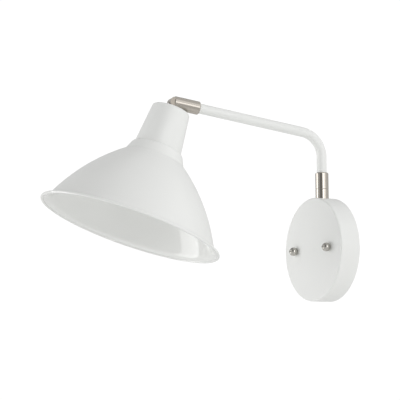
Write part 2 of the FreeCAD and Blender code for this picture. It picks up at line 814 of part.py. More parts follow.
def ground_lead():
    low = crossbar_thickness
    high = low + ground_eye_thickness
    eye = ring(ground_eye_radius, stud_radius + hole_gap, low, high, ground_screw_x)
    tail = block(ground_tail_width, ground_tail_length, low, high)
    tail.translate(Vector(ground_screw_x, ground_eye_radius + ground_tail_length / 2 - seat_gap, 0))
    y = -high - lead_radius + seat_gap
    x = spindle_nut_flats / math.sqrt(3) + ground_side_gap + lead_radius
    top = spindle_nut_foot - ground_end
    run = [(ground_screw_x, y, ground_eye_radius + hole_gap), (ground_screw_x, y, ground_rise),
           (x, -post_offset, top), (x, -post_offset, top + ground_tip)]
    eye = in_canopy(eye.fuse(tail).removeSplitter())
    save("ground_lead", eye.fuse(lead(run, lead_radius, lead_bend)).removeSplitter())


os.makedirs("parts", exist_ok=True)
canopy_cover()
mounting_crossbar()
canopy_studs()
stud_lock_nuts()
canopy_ball_nuts()
ground_screw()
swivel_base()
swivel_seam_washer()
swivel_stop_pin()
swivel_spindle()
saddle_washer()
spindle_lock_nut()
swivel_sleeve()
swivel_thrust_washer()
set_screws()
arm_tube()
arm_leads()
knuckle_barrel()
knuckle_screw()
knuckle_washers()
knuckle_tongue()
stem_tooth_washer()
stem_lock_nut()
neck_cup()
shade_bell()
holder_cap()
holder_body()
screw_shell()
centre_contact()
terminal_screws()
holder_leads()
canopy_leads()
wire_connectors()
ground_lead()
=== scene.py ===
import json
import math

import bmesh
import bpy
from mathutils import Matrix, Vector


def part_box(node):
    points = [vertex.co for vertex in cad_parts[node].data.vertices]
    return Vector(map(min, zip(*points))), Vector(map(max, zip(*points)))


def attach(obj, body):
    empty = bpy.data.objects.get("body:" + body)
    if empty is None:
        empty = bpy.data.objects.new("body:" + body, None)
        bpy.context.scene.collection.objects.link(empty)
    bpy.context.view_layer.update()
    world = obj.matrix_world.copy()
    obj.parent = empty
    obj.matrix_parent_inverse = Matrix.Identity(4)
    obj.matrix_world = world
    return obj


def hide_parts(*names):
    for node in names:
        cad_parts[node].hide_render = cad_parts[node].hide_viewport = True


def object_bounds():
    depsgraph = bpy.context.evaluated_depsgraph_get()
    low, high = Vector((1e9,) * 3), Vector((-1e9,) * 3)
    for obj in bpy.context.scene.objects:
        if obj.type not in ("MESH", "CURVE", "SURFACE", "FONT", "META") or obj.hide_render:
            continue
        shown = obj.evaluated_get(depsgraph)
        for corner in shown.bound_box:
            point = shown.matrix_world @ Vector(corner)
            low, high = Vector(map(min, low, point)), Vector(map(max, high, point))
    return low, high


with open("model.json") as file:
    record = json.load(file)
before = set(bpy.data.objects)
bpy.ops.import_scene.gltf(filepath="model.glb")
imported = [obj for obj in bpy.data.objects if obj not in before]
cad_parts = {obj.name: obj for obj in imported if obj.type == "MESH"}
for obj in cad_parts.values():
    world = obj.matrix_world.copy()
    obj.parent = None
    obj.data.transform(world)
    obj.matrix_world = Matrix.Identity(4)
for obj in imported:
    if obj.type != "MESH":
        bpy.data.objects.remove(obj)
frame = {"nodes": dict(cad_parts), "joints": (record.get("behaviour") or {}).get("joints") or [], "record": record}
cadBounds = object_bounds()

mm = 0.001
print("frame loaded:", len(frame["nodes"]), "nodes")


def newObject(name, data):
    made = bpy.data.objects.new(name, data)
    bpy.context.scene.collection.objects.link(made)
    return made


# Frames to build in. Each is told by the record: where a joint turns, and where the bulb leaves.

def jointNamed(name):
    return next(j for j in frame["joints"] if j["name"] == name)


def framedBy(origin, sideways, upwards):
    z = Vector(upwards).normalized()
    x = Vector(sideways).normalized()
    y = z.cross(x)
    return Matrix.Translation(Vector(origin)) @ Matrix((x, y, z)).transposed().to_4x4()


pin = Vector(jointNamed("shade_tilt")["pos_m"])
pinAxis = -Vector(jointNamed("shade_tilt")["axis"])
postAxis = Vector(jointNamed("arm_swing")["pos_m"])
bulbWay = Vector(next(m for m in frame["record"]["mounts"] if m["name"] == "lamp_socket")["axis"])
shadeFrame = framedBy(pin, pinAxis, -bulbWay)                        # -Z runs down the axis of the shade
canopyFrame = framedBy((0, 0, 0), (1, 0, 0), (0, -1, 0))             # +Z runs out of the wall
postFrame = framedBy((postAxis.x, postAxis.y, 0), pinAxis, (0, 0, 1))


# Camera, at the lamp's own left front and a little below it.

viewpoint = {"turn": 61.81, "rise": -6.98, "roll": 0.21, "distance": 1770.83,
             "side": -157.97, "height": 61.99, "lens": 130.94, "sensor": 36.0}


def placeCamera(v):
    turn, rise = math.radians(v["turn"]), math.radians(v["rise"])
    back = Vector((math.sin(turn) * math.cos(rise), -math.cos(turn) * math.cos(rise), math.sin(rise)))
    right = Vector((math.cos(turn), math.sin(turn), 0))
    up = back.cross(right)
    target = (right * v["side"] + Vector((0, 0, v["height"]))) * mm
    roll = Matrix.Rotation(math.radians(-v["roll"]), 3, back)
    data = bpy.data.cameras.new("camera")
    data.lens = v["lens"]
    data.sensor_width = v["sensor"]
    data.clip_start = 0.05
    data.clip_end = 100
    camera = newObject("camera", data)
    camera.matrix_world = (roll @ Matrix((right, up, back)).transposed()).to_4x4()
    camera.location = target + back * v["distance"] * mm
    bpy.context.scene.camera = camera
    return back, right


towardCamera, toTheRight = placeCamera(viewpoint)
print("camera placed")


# Shader groups: effects that several finishes share.

def shaderGroup(name, inputs, outputs):
    group = bpy.data.node_groups.new(name, "ShaderNodeTree")
    for label, kind, value in inputs:
        socket = group.interface.new_socket(label, in_out="INPUT", socket_type=kind)
        socket.default_value = value
    for label, kind in outputs:
        group.interface.new_socket(label, in_out="OUTPUT", socket_type=kind)
    return group, group.nodes.new("NodeGroupInput").outputs, group.nodes.new("NodeGroupOutput").inputs


def addNode(tree, kind, **settings):
    node = tree.nodes.new(kind)
    for key, value in settings.items():
        setattr(node, key, value)
    return node


def feed(tree, socket, source):
    # a socket takes either another node's output or a plain value
    if isinstance(source, bpy.types.NodeSocket):
        tree.links.new(source, socket)
    elif source is not None:
        socket.default_value = source


def mathNode(tree, operation, *values, clamp=False):
    node = addNode(tree, "ShaderNodeMath", operation=operation, use_clamp=clamp)
    for socket, value in zip(node.inputs, values):
        feed(tree, socket, value)
    return node.outputs[0]


def mappedTo(tree, value, low, high, newLow, newHigh):
    node = addNode(tree, "ShaderNodeMapRange", interpolation_type="SMOOTHSTEP")
    for socket, source in zip(node.inputs, (value, low, high, newLow, newHigh)):
        feed(tree, socket, source)
    return node.outputs[0]


def noiseNode(tree, place, scale, detail):
    node = addNode(tree, "ShaderNodeTexNoise")
    feed(tree, node.inputs["Vector"], place)
    feed(tree, node.inputs["Scale"], scale)
    node.inputs["Detail"].default_value = detail
    return node.outputs["Fac"]


def aroundMiddle(tree, value, spread, middle):
    # the middle, plus or minus half the spread as the value goes from 0 to 1
    return mathNode(tree, "MULTIPLY_ADD", mathNode(tree, "SUBTRACT", value, 0.5), spread, middle)


def mixedColor(tree, factor, first, second):
    mix = addNode(tree, "ShaderNodeMix", data_type="RGBA")
    firstSocket, secondSocket = mix.inputs[6], mix.inputs[7]         # the two that take colours
    feed(tree, mix.inputs["Factor"], factor)
    feed(tree, firstSocket, first)
    feed(tree, secondSocket, second)
    return mix.outputs[2]


peel = {"waveScale": 450, "hazeScale": 18, "finer": 4.0, "finerShare": 0.2, "height": 0.004}
lines = {"across": 3000, "smudgeScale": 60.0, "smudge": 0.04, "height": 0.001}
dust = {"color": (0.78, 0.76, 0.72, 1), "amount": 0.06, "fromSlope": 0.55, "patchScale": 140.0,
        "patchLow": 0.35, "patchHigh": 0.75, "thinnest": 0.2}


def makeOrangePeel():
    # the soft waviness of a sprayed coat, and the haze where it lies thicker
    group, given, made = shaderGroup(
        "orangePeel",
        [("waveScale", "NodeSocketFloat", peel["waveScale"]), ("roughness", "NodeSocketFloat", 0.4),
         ("haze", "NodeSocketFloat", 0.05)],
        [("height", "NodeSocketFloat"), ("roughness", "NodeSocketFloat")])
    place = addNode(group, "ShaderNodeTexCoord").outputs["Object"]
    wave = noiseNode(group, place, given["waveScale"], 1.0)
    finer = noiseNode(group, place, mathNode(group, "MULTIPLY", given["waveScale"], peel["finer"]), 2.0)
    haze = noiseNode(group, place, peel["hazeScale"], 3.0)
    spread = mathNode(group, "MULTIPLY", given["haze"], 2.0)
    feed(group, made["height"], mathNode(group, "MULTIPLY_ADD", finer, peel["finerShare"], wave))
    feed(group, made["roughness"], aroundMiddle(group, haze, spread, given["roughness"]))
    return group


def makeFineLines():
    # lines left by a belt or a lathe tool: the same noise, drawn out along one axis
    group, given, made = shaderGroup(
        "fineLines",
        [("stretch", "NodeSocketVector", (1, 1, 1)), ("roughness", "NodeSocketFloat", 0.2),
         ("depth", "NodeSocketFloat", 0.05)],
        [("height", "NodeSocketFloat"), ("roughness", "NodeSocketFloat")])
    place = addNode(group, "ShaderNodeTexCoord").outputs["Object"]
    drawn = addNode(group, "ShaderNodeVectorMath", operation="MULTIPLY")
    feed(group, drawn.inputs[0], place)
    feed(group, drawn.inputs[1], given["stretch"])
    drawnLines = noiseNode(group, drawn.outputs[0], lines["across"], 2.0)
    smudge = noiseNode(group, place, lines["smudgeScale"], 3.0)
    rough = aroundMiddle(group, drawnLines, given["depth"], given["roughness"])
    feed(group, made["height"], drawnLines)
    feed(group, made["roughness"], aroundMiddle(group, smudge, lines["smudge"], rough))
    return group


def makeDust():
    # a trace of dust on what faces up, patchy, and none on the sides
    group, given, made = shaderGroup(
        "settledDust", [("color", "NodeSocketColor", (1, 1, 1, 1))], [("color", "NodeSocketColor")])
    place = addNode(group, "ShaderNodeTexCoord").outputs["Object"]
    facing = addNode(group, "ShaderNodeSeparateXYZ")
    feed(group, facing.inputs[0], addNode(group, "ShaderNodeNewGeometry").outputs["Normal"])
    upward = mappedTo(group, facing.outputs["Z"], dust["fromSlope"], 1.0, 0.0, 1.0)
    patches = mappedTo(group, noiseNode(group, place, dust["patchScale"], 4.0),
                       dust["patchLow"], dust["patchHigh"], dust["thinnest"], 1.0)
    settled = mathNode(group, "MULTIPLY", mathNode(group, "MULTIPLY", upward, patches), dust["amount"])
    feed(group, made["color"], mixedColor(group, settled, given["color"], dust["color"]))
    return group


orangePeel, fineLines, settledDust = makeOrangePeel(), makeFineLines(), makeDust()


def newFinish(name):
    material = bpy.data.materials.new(name)
    material.use_nodes = True
    tree = material.node_tree
    return material, tree, tree.nodes["Principled BSDF"]


def useGroup(tree, group, **values):
    node = addNode(tree, "ShaderNodeGroup", node_tree=group)
    for key, value in values.items():
        feed(tree, node.inputs[key], value)
    return node.outputs


def bumpFrom(tree, height, distance):
    bump = addNode(tree, "ShaderNodeBump")
    bump.inputs["Strength"].default_value = 1.0
    bump.inputs["Distance"].default_value = distance
    feed(tree, bump.inputs["Height"], height)
    return bump.outputs["Normal"]


def paintFinish(name, color, roughness, inside=None):
    # a piece may have the attribute "inside" on its inner skin, where the coat came out glossier
    material, tree, shader = newFinish(name)
    skin = useGroup(tree, orangePeel, roughness=roughness, haze=0.04)
    spread = skin["roughness"]
    if inside is not None:
        marked = addNode(tree, "ShaderNodeAttribute", attribute_name="inside").outputs["Fac"]
        spread = mathNode(tree, "MULTIPLY_ADD", marked, inside - roughness, spread)
    feed(tree, shader.inputs["Base Color"], useGroup(tree, settledDust, color=(*color, 1))["color"])
    feed(tree, shader.inputs["Roughness"], spread)
    feed(tree, shader.inputs["Normal"], bumpFrom(tree, skin["height"], peel["height"] * mm))
    shader.inputs["Coat Weight"].default_value = 0.25
    shader.inputs["Coat Roughness"].default_value = 0.12
    return material


def spangled(tree, color, tint):
    # the faint crystal pattern of plating
    cells = addNode(tree, "ShaderNodeTexVoronoi", feature="F1")
    cells.inputs["Scale"].default_value = 350
    feed(tree, cells.inputs["Vector"], addNode(tree, "ShaderNodeTexCoord").outputs["Object"])
    share = mathNode(tree, "MULTIPLY", cells.outputs["Distance"], 0.8, clamp=True)
    return mixedColor(tree, share, (*color, 1), (*tint, 1))


def metalFinish(name, color, roughness, stretch=(1, 1, 1), depth=0.06, tint=None):
    material, tree, shader = newFinish(name)
    skin = useGroup(tree, fineLines, stretch=stretch, roughness=roughness, depth=depth)
    feed(tree, shader.inputs["Base Color"], (*color, 1) if tint is None else spangled(tree, color, tint))
    shader.inputs["Metallic"].default_value = 1.0
    feed(tree, shader.inputs["Roughness"], skin["roughness"])
    feed(tree, shader.inputs["Normal"], bumpFrom(tree, skin["height"], lines["height"] * mm))
    return material


def plasticFinish(name, color, roughness, mottle=0.06):
    material, tree, shader = newFinish(name)
    skin = useGroup(tree, orangePeel, waveScale=900.0, roughness=roughness, haze=0.06)
    cloud = noiseNode(tree, addNode(tree, "ShaderNodeTexCoord").outputs["Object"], 90.0, 3.0)
    darker = (*[c * (1 - mottle) for c in color], 1)
    lighter = (*[min(1, c * (1 + mottle)) for c in color], 1)
    feed(tree, shader.inputs["Base Color"], mixedColor(tree, cloud, darker, lighter))
    feed(tree, shader.inputs["Roughness"], skin["roughness"])
    feed(tree, shader.inputs["Normal"], bumpFrom(tree, skin["height"], peel["height"] * mm))
    return material


whiteCoat = (0.85, 0.857, 0.84)
finishes = {
    "white_paint": paintFinish("whiteSatin", whiteCoat, 0.42),
    "shade_paint": paintFinish("whiteShade", whiteCoat, 0.42, inside=0.11),
    "satin_nickel": metalFinish("satinNickel", (0.5, 0.465, 0.42), 0.13, stretch=(1, 1, 0.05)),
    "polished_nickel": metalFinish("polishedNickel", (0.5, 0.485, 0.45), 0.05, depth=0.02),
    # rougher milled nickel, its dark colour painted shade for the dark reflection on the ears' cheeks
    "milled_nickel": metalFinish("milledNickel", (0.27, 0.245, 0.215), 0.3, depth=0.12),
    "zinc_steel": metalFinish("zincSteel", (0.62, 0.63, 0.64), 0.34, tint=(0.5, 0.52, 0.56)),
    "brass": metalFinish("plainBrass", (0.78, 0.58, 0.28), 0.28, tint=(0.62, 0.42, 0.2)),
    "green_screw": metalFinish("greenDyedScrew", (0.12, 0.45, 0.2), 0.3),
    "green_lead": plasticFinish("greenInsulation", (0.07, 0.33, 0.12), 0.42),
    "nylon": plasticFinish("naturalNylon", (0.55, 0.53, 0.48), 0.45),
    "holder_plastic": plasticFinish("ivoryHolder", (0.8, 0.78, 0.71), 0.3, mottle=0.03),
    "lead_white": plasticFinish("whiteInsulation", (0.75, 0.74, 0.7), 0.42),
    "connector_plastic": plasticFinish("orangeConnector", (0.75, 0.26, 0.04), 0.38),
}
slotOf = {s["node"]: s["material_slot"] for s in frame["record"]["subparts"]}
for nodeName, node in frame["nodes"].items():
    node.data.materials.clear()
    node.data.materials.append(finishes[slotOf[nodeName]])
print("finishes made:", len(finishes))


# Geometry node trees.

def geometryTree(name, inputs):
    tree = bpy.data.node_groups.new(name, "GeometryNodeTree")
    tree.interface.new_socket("Geometry", in_out="INPUT", socket_type="NodeSocketGeometry")
    for label, kind, value in inputs:
        socket = tree.interface.new_socket(label, in_out="INPUT", socket_type=kind)
        socket.default_value = value
    tree.interface.new_socket("finish", in_out="INPUT", socket_type="NodeSocketMaterial")
    tree.interface.new_socket("Geometry", in_out="OUTPUT", socket_type="NodeSocketGeometry")
    return tree, tree.nodes.new("NodeGroupInput").outputs, tree.nodes.new("NodeGroupOutput").inputs


def closeTree(tree, given, made, geometry):
    realize = addNode(tree, "GeometryNodeRealizeInstances")
    paint = addNode(tree, "GeometryNodeSetMaterial")
    feed(tree, realize.inputs["Geometry"], geometry)
    feed(tree, paint.inputs["Geometry"], realize.outputs["Geometry"])
    feed(tree, paint.inputs["Material"], given["finish"])
    feed(tree, made["Geometry"], paint.outputs["Geometry"])
    return tree


def splitPlace(tree):
    place = addNode(tree, "GeometryNodeInputPosition").outputs[0]
    parts = addNode(tree, "ShaderNodeSeparateXYZ")
    feed(tree, parts.inputs[0], place)
    return parts.outputs


def joined(tree, x, y, z):
    node = addNode(tree, "ShaderNodeCombineXYZ")
    for socket, value in zip(node.inputs, (x, y, z)):
        feed(tree, socket, value)
    return node.outputs[0]


weld = 0.0005 * mm                                                   # points closer than this become one
noInside = 100000                                                    # more points than any outline has


def makeSpinTree():
    # spins a closed outline, drawn in the XZ plane point after point, about Z
    tree, given, made = geometryTree("spinOutline", [("segments", "NodeSocketInt", 96),
                                                     ("innerFrom", "NodeSocketInt", noInside)])
    size = addNode(tree, "GeometryNodeAttributeDomainSize")
    feed(tree, size.inputs[0], given["Geometry"])
    count = size.outputs["Point Count"]
    grid = addNode(tree, "GeometryNodeMeshGrid")
    feed(tree, grid.inputs["Size X"], 1.0)
    feed(tree, grid.inputs["Size Y"], 1.0)
    feed(tree, grid.inputs["Vertices X"], mathNode(tree, "ADD", given["segments"], 1.0))
    feed(tree, grid.inputs["Vertices Y"], mathNode(tree, "ADD", count, 1.0))
    x, y, z = splitPlace(tree)
    along = mathNode(tree, "MULTIPLY", mathNode(tree, "ADD", y, 0.5), count)
    along = mathNode(tree, "MODULO", mathNode(tree, "ROUND", along), count)
    sample = addNode(tree, "GeometryNodeSampleIndex", data_type="FLOAT_VECTOR")
    feed(tree, sample.inputs["Geometry"], given["Geometry"])
    feed(tree, sample.inputs["Value"], addNode(tree, "GeometryNodeInputPosition").outputs[0])
    feed(tree, sample.inputs["Index"], along)
    outline = addNode(tree, "ShaderNodeSeparateXYZ")
    feed(tree, outline.inputs[0], sample.outputs["Value"])
    reach, height = outline.outputs["X"], outline.outputs["Z"]
    turn = mathNode(tree, "MULTIPLY", mathNode(tree, "ADD", x, 0.5), 2 * math.pi)
    turnedX = mathNode(tree, "MULTIPLY", reach, mathNode(tree, "COSINE", turn))
    turnedY = mathNode(tree, "MULTIPLY", reach, mathNode(tree, "SINE", turn))
    firstInner = mathNode(tree, "SUBTRACT", given["innerFrom"], 0.5)
    store = addNode(tree, "GeometryNodeStoreNamedAttribute", data_type="FLOAT", domain="POINT")
    feed(tree, store.inputs["Geometry"], grid.outputs["Mesh"])
    feed(tree, store.inputs["Name"], "inside")
    feed(tree, store.inputs["Value"], mathNode(tree, "GREATER_THAN", along, firstInner))
    move = addNode(tree, "GeometryNodeSetPosition")
    feed(tree, move.inputs["Geometry"], store.outputs["Geometry"])
    feed(tree, move.inputs["Position"], joined(tree, turnedX, turnedY, height))
    merge = addNode(tree, "GeometryNodeMergeByDistance")
    feed(tree, merge.inputs["Geometry"], move.outputs["Geometry"])
    feed(tree, merge.inputs["Distance"], weld)
    return closeTree(tree, given, made, merge.outputs["Geometry"])


def radialShift(tree, given, made, amount):
    # moves the skin that lies at one radius, out by an amount that fades at both ends
    x, y, z = splitPlace(tree)
    flat = joined(tree, x, y, 0.0)
    reach = addNode(tree, "ShaderNodeVectorMath", operation="LENGTH")
    feed(tree, reach.inputs[0], flat)
    outward = addNode(tree, "ShaderNodeVectorMath", operation="NORMALIZE")
    feed(tree, outward.inputs[0], flat)
    lowFull = mathNode(tree, "ADD", given["low"], given["fade"])
    highFull = mathNode(tree, "SUBTRACT", given["high"], given["fade"])
    fromLow = mappedTo(tree, z, given["low"], lowFull, 0.0, 1.0)
    fromHigh = mappedTo(tree, z, highFull, given["high"], 1.0, 0.0)
    offSkin = mathNode(tree, "ABSOLUTE", mathNode(tree, "SUBTRACT", reach.outputs["Value"], given["radius"]))
    onSkin = mathNode(tree, "LESS_THAN", offSkin, given["skin"])
    shift = mathNode(tree, "MULTIPLY", mathNode(tree, "MULTIPLY", fromLow, fromHigh),
                     mathNode(tree, "MULTIPLY", onSkin, amount))
    scale = addNode(tree, "ShaderNodeVectorMath", operation="SCALE")
    feed(tree, scale.inputs[0], outward.outputs[0])
    feed(tree, scale.inputs["Scale"], shift)
    move = addNode(tree, "GeometryNodeSetPosition")
    feed(tree, move.inputs["Geometry"], given["Geometry"])
    feed(tree, move.inputs["Offset"], scale.outputs[0])
    return closeTree(tree, given, made, move.outputs["Geometry"])


def turnAngle(tree):
    x, y, z = splitPlace(tree)
    return mathNode(tree, "ARCTAN2", y, x), z


skinInputs = [("low", "NodeSocketFloat", 0.0), ("high", "NodeSocketFloat", 1.0),
              ("fade", "NodeSocketFloat", 0.001), ("radius", "NodeSocketFloat", 0.002),
              ("skin", "NodeSocketFloat", 0.0001)]


def makeThreadTree():
    tree, given, made = geometryTree("cutThread", [("pitch", "NodeSocketFloat", 0.001),
                                                   ("depth", "NodeSocketFloat", 0.0004), *skinInputs])
    turn, z = turnAngle(tree)
    climbed = mathNode(tree, "MULTIPLY", mathNode(tree, "DIVIDE", z, given["pitch"]), 2 * math.pi)
    wave = mathNode(tree, "COSINE", mathNode(tree, "SUBTRACT", climbed, turn))
    valley = mathNode(tree, "MULTIPLY_ADD", wave, 0.5, -0.5)
    return radialShift(tree, given, made, mathNode(tree, "MULTIPLY", valley, given["depth"]))


def makeRibTree():
    tree, given, made = geometryTree("raiseRibs", [("count", "NodeSocketInt", 12),
                                                   ("height", "NodeSocketFloat", 0.0005), *skinInputs])
    turn, z = turnAngle(tree)
    wave = mathNode(tree, "COSINE", mathNode(tree, "MULTIPLY", turn, given["count"]))
    ridge = mappedTo(tree, wave, -0.2, 0.9, -1.0, 0.0)               # wide ridges with narrow valleys
    return radialShift(tree, given, made, mathNode(tree, "MULTIPLY", ridge, given["height"]))


def makeTubeTree():
    # a round tube bent along straight runs: only its outer skin, open at both ends
    tree, given, made = geometryTree("bendTube", [("tubeRadius", "NodeSocketFloat", 0.006),
                                                  ("bendRadius", "NodeSocketFloat", 0.03),
                                                  ("bendSteps", "NodeSocketInt", 24),
                                                  ("sides", "NodeSocketInt", 48)])
    curve = addNode(tree, "GeometryNodeMeshToCurve")
    feed(tree, curve.inputs["Mesh"], given["Geometry"])
    fillet = addNode(tree, "GeometryNodeFilletCurve")
    fillet.mode = "POLY"
    feed(tree, fillet.inputs["Curve"], curve.outputs["Curve"])
    feed(tree, fillet.inputs["Count"], given["bendSteps"])
    feed(tree, fillet.inputs["Radius"], given["bendRadius"])
    section = addNode(tree, "GeometryNodeCurvePrimitiveCircle")
    feed(tree, section.inputs["Resolution"], given["sides"])
    feed(tree, section.inputs["Radius"], given["tubeRadius"])
    sweep = addNode(tree, "GeometryNodeCurveToMesh")
    feed(tree, sweep.inputs["Curve"], fillet.outputs["Curve"])
    feed(tree, sweep.inputs["Profile Curve"], section.outputs["Curve"])
    return closeTree(tree, given, made, sweep.outputs["Mesh"])


def makeRowTree():
    # copies of one piece in a row along X, centred on the origin
    tree, given, made = geometryTree("rowOfCopies", [("count", "NodeSocketInt", 2),
                                                     ("spacing", "NodeSocketFloat", 0.01)])
    gaps = mathNode(tree, "SUBTRACT", given["count"], 1.0)
    start = mathNode(tree, "MULTIPLY", mathNode(tree, "MULTIPLY", gaps, given["spacing"]), -0.5)
    row = addNode(tree, "GeometryNodeMeshLine")
    feed(tree, row.inputs["Count"], given["count"])
    feed(tree, row.inputs["Start Location"], joined(tree, start, 0.0, 0.0))
    feed(tree, row.inputs["Offset"], joined(tree, given["spacing"], 0.0, 0.0))
    copies = addNode(tree, "GeometryNodeInstanceOnPoints")
    feed(tree, copies.inputs["Points"], row.outputs["Mesh"])
    feed(tree, copies.inputs["Instance"], given["Geometry"])
    return closeTree(tree, given, made, copies.outputs["Instances"])


spinOutline, cutThread, raiseRibs = makeSpinTree(), makeThreadTree(), makeRibTree()
bendTube, rowOfCopies = makeTubeTree(), makeRowTree()
print("node trees made:", len(bpy.data.node_groups))


# From a tree to a finished piece.

def addTree(holder, tree, **values):
    modifier = holder.modifiers.new(tree.name, "NODES")
    modifier.node_group = tree
    for item in tree.interface.items_tree:
        if item.in_out == "INPUT" and item.name in values:
            modifier[item.identifier] = values[item.name]
    holder.update_tag()


def drawnLine(points, closed=False):
    mesh = bpy.data.meshes.new("outline")
    edges = [(i, i + 1) for i in range(len(points) - 1)]
    if closed:
        edges.append((len(points) - 1, 0))
    mesh.from_pydata([Vector(p) * mm for p in points], edges, [])
    return newObject("outline", mesh)


def bakedMesh(holder, place, sharp=38, closed=True):
    graph = bpy.context.evaluated_depsgraph_get()
    mesh = bpy.data.meshes.new_from_object(holder.evaluated_get(graph), depsgraph=graph)
    work = bmesh.new()
    work.from_mesh(mesh)
    bmesh.ops.remove_doubles(work, verts=work.verts, dist=weld)
    loose = [e for e in work.edges if not e.link_faces]
    bmesh.ops.delete(work, geom=loose, context="EDGES")
    if closed:
        bmesh.ops.recalc_face_normals(work, faces=work.faces)
    work.to_mesh(mesh)
    work.free()
    mesh.transform(place)
    for face in mesh.polygons:
        face.use_smooth = True
    mesh.set_sharp_from_angle(angle=math.radians(sharp))
    bpy.data.objects.remove(holder)
    return mesh


def finishedPiece(name, mesh, body, node):
    piece = newObject(name, mesh)
    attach(piece, body)
    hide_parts(node)


# Outlines, as (radius, height) in millimetres.

def bowedLine(start, end, bow, steps):
    # an arc that stands out from its chord by the bow, to the left of the way from start to end
    a, b = Vector(start), Vector(end)
    chord = b - a
    side = Vector((-chord.y, chord.x)).normalized()
    radius = (chord.length ** 2 / 4 + bow * bow) / (2 * abs(bow))
    lift = math.copysign(1, bow)
    centre = (a + b) / 2 - side * lift * (radius - abs(bow))
    half = math.asin(chord.length / 2 / radius)
    points = []
    for i in range(steps + 1):
        turn = half - 2 * half * i / steps
        along = chord.normalized() * -math.sin(turn) + side * lift * math.cos(turn)
        points.append(tuple(centre + along * radius))
    return points


def roundedCorner(before, corner, after, radius, steps=6):
    p, a, b = Vector(corner), Vector(before), Vector(after)
    back, ahead = (a - p).normalized(), (b - p).normalized()
    half = back.angle(ahead) / 2
    nearHalf = 0.49                                                  # leaves room for the next corner
    reach = min(radius / math.tan(half), (a - p).length * nearHalf, (b - p).length * nearHalf)
    radius = reach * math.tan(half)
    centre = p + (back + ahead).normalized() * (radius / math.sin(half))
    start, end = p + back * reach - centre, p + ahead * reach - centre
    swing = start.angle_signed(end)
    return [tuple(centre + Matrix.Rotation(-swing * i / steps, 2) @ start) for i in range(steps + 1)]


def softPath(corners):
    # corners are (radius, height, rounding)
    points = [tuple(corners[0][:2])]
    for before, corner, after in zip(corners, corners[1:], corners[2:]):
        if corner[2] > 0:
            points += roundedCorner(before[:2], corner[:2], after[:2], corner[2])
        else:
            points.append(tuple(corner[:2]))
    return points + [tuple(corners[-1][:2])]


def softLoop(corners):
    # the same, closed, for a solid ring
    count = len(corners)
    points = []
    for i, corner in enumerate(corners):
        if corner[2] > 0:
            before, after = corners[i - 1], corners[(i + 1) % count]
            points += roundedCorner(before[:2], corner[:2], after[:2], corner[2])
        else:
            points.append(tuple(corner[:2]))
    return points


def withRings(points, step):
    # more points along the long straight stretches, for a thread or ribs
    filled = []
    for a, b in zip(points, points[1:] + points[:1]):
        filled.append(a)
        across, up = b[0] - a[0], b[1] - a[1]
        parts = int(math.hypot(across, up) / step)
        filled += [(a[0] + across * i / parts, a[1] + up * i / parts) for i in range(1, parts)]
    return filled


def otherSide(path, wall):
    # the path shifted to its right by the wall, for the other skin of a sheet
    shifted = []
    for i, point in enumerate(path):
        before, after = Vector(path[max(i - 1, 0)]), Vector(path[min(i + 1, len(path) - 1)])
        way = (after - before).normalized()
        shifted.append((point[0] + way.y * wall, point[1] - way.x * wall))
    return shifted


def spunHolder(outline, finish, segments, innerFrom=noInside):
    holder = drawnLine([(r, 0, z) for r, z in outline], closed=True)
    addTree(holder, spinOutline, segments=segments, innerFrom=innerFrom, finish=finish)
    return holder


def addThread(holder, size, low, high, fade, radius, skin, finish):
    # the pitch and depth come from the piece's sizes, all in millimetres
    addTree(holder, cutThread, pitch=size["pitch"] * mm, depth=size["depth"] * mm, low=low * mm,
            high=high * mm, fade=fade * mm, radius=radius * mm, skin=skin * mm, finish=finish)


def addPair(holder, node, width, finish):
    # two copies, as far apart along X as the node's own two
    low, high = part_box(node)
    addTree(holder, rowOfCopies, count=2, spacing=high.x - low.x - width * mm, finish=finish)


# Bell of the shade: its collar, its flank, and the lip with its rolled edge.

bell = {"wall": 1.0, "shelfFrom": 28.35, "shelfTo": 30.0, "shelfDepth": 59.8, "coneTop": (31.2, 61.2),
        "coneFoot": (36.0, 72.0), "lipTop": (100.3, 153.5), "rim": (107.2, 159.4), "crown": 6.1, "sag": 0.9,
        "bead": 1.65, "curlGap": 0.25, "groove": 0.75, "grooveEdge": 0.1, "shelfEdge": 0.5, "coneEdge": 1.0,
        "footEdge": 2.5, "crease": 1.6, "flankSteps": 36, "lipSteps": 10, "rollSteps": 22, "segments": 192}


def bellOutline(b):
    cone, foot, lip, rim = b["coneTop"], b["coneFoot"], b["lipTop"], b["rim"]
    bead, halfBead = b["bead"], b["bead"] / 2
    flank = bowedLine((foot[0], -foot[1]), (lip[0], -lip[1]), b["crown"], b["flankSteps"])
    lipRun = bowedLine((lip[0], -lip[1]), (rim[0] - halfBead, -rim[1] + halfBead), -b["sag"], b["lipSteps"])
    shelf, groove, edge = -b["shelfDepth"], b["groove"], b["grooveEdge"]
    start = softPath([(b["shelfFrom"], shelf - groove, 0), (b["shelfFrom"] + groove, shelf - groove, edge),
                      (b["shelfFrom"] + groove * 1.5, shelf, edge), (b["shelfTo"], shelf, b["shelfEdge"]),
                      (cone[0], -cone[1], b["coneEdge"]), (foot[0], -foot[1], b["footEdge"]), (*flank[2], 0)])
    crease = roundedCorner(flank[-3], flank[-1], lipRun[2], b["crease"])
    path = start + flank[3:-3] + crease + lipRun[2:]
    centre = Vector((rim[0], -rim[1]))
    free = bead + b["curlGap"] / 2
    outer = [p for p in path if (Vector(p) - centre).length > bead]
    inner = [p for p in otherSide(path, b["wall"]) if (Vector(p) - centre).length > free]
    first = (Vector(outer[-1]) - centre).angle_signed(Vector((1, 0)))
    last = (Vector(inner[-1]) - centre).angle_signed(Vector((1, 0)))
    sweep = (first - last) % (2 * math.pi)
    steps = b["rollSteps"]
    turns = [first - sweep * i / steps for i in range(steps + 1)]
    roll = [(centre.x + bead * math.cos(t), centre.y + bead * math.sin(t)) for t in turns]
    return outer + roll + inner[::-1], len(outer) + steps // 2


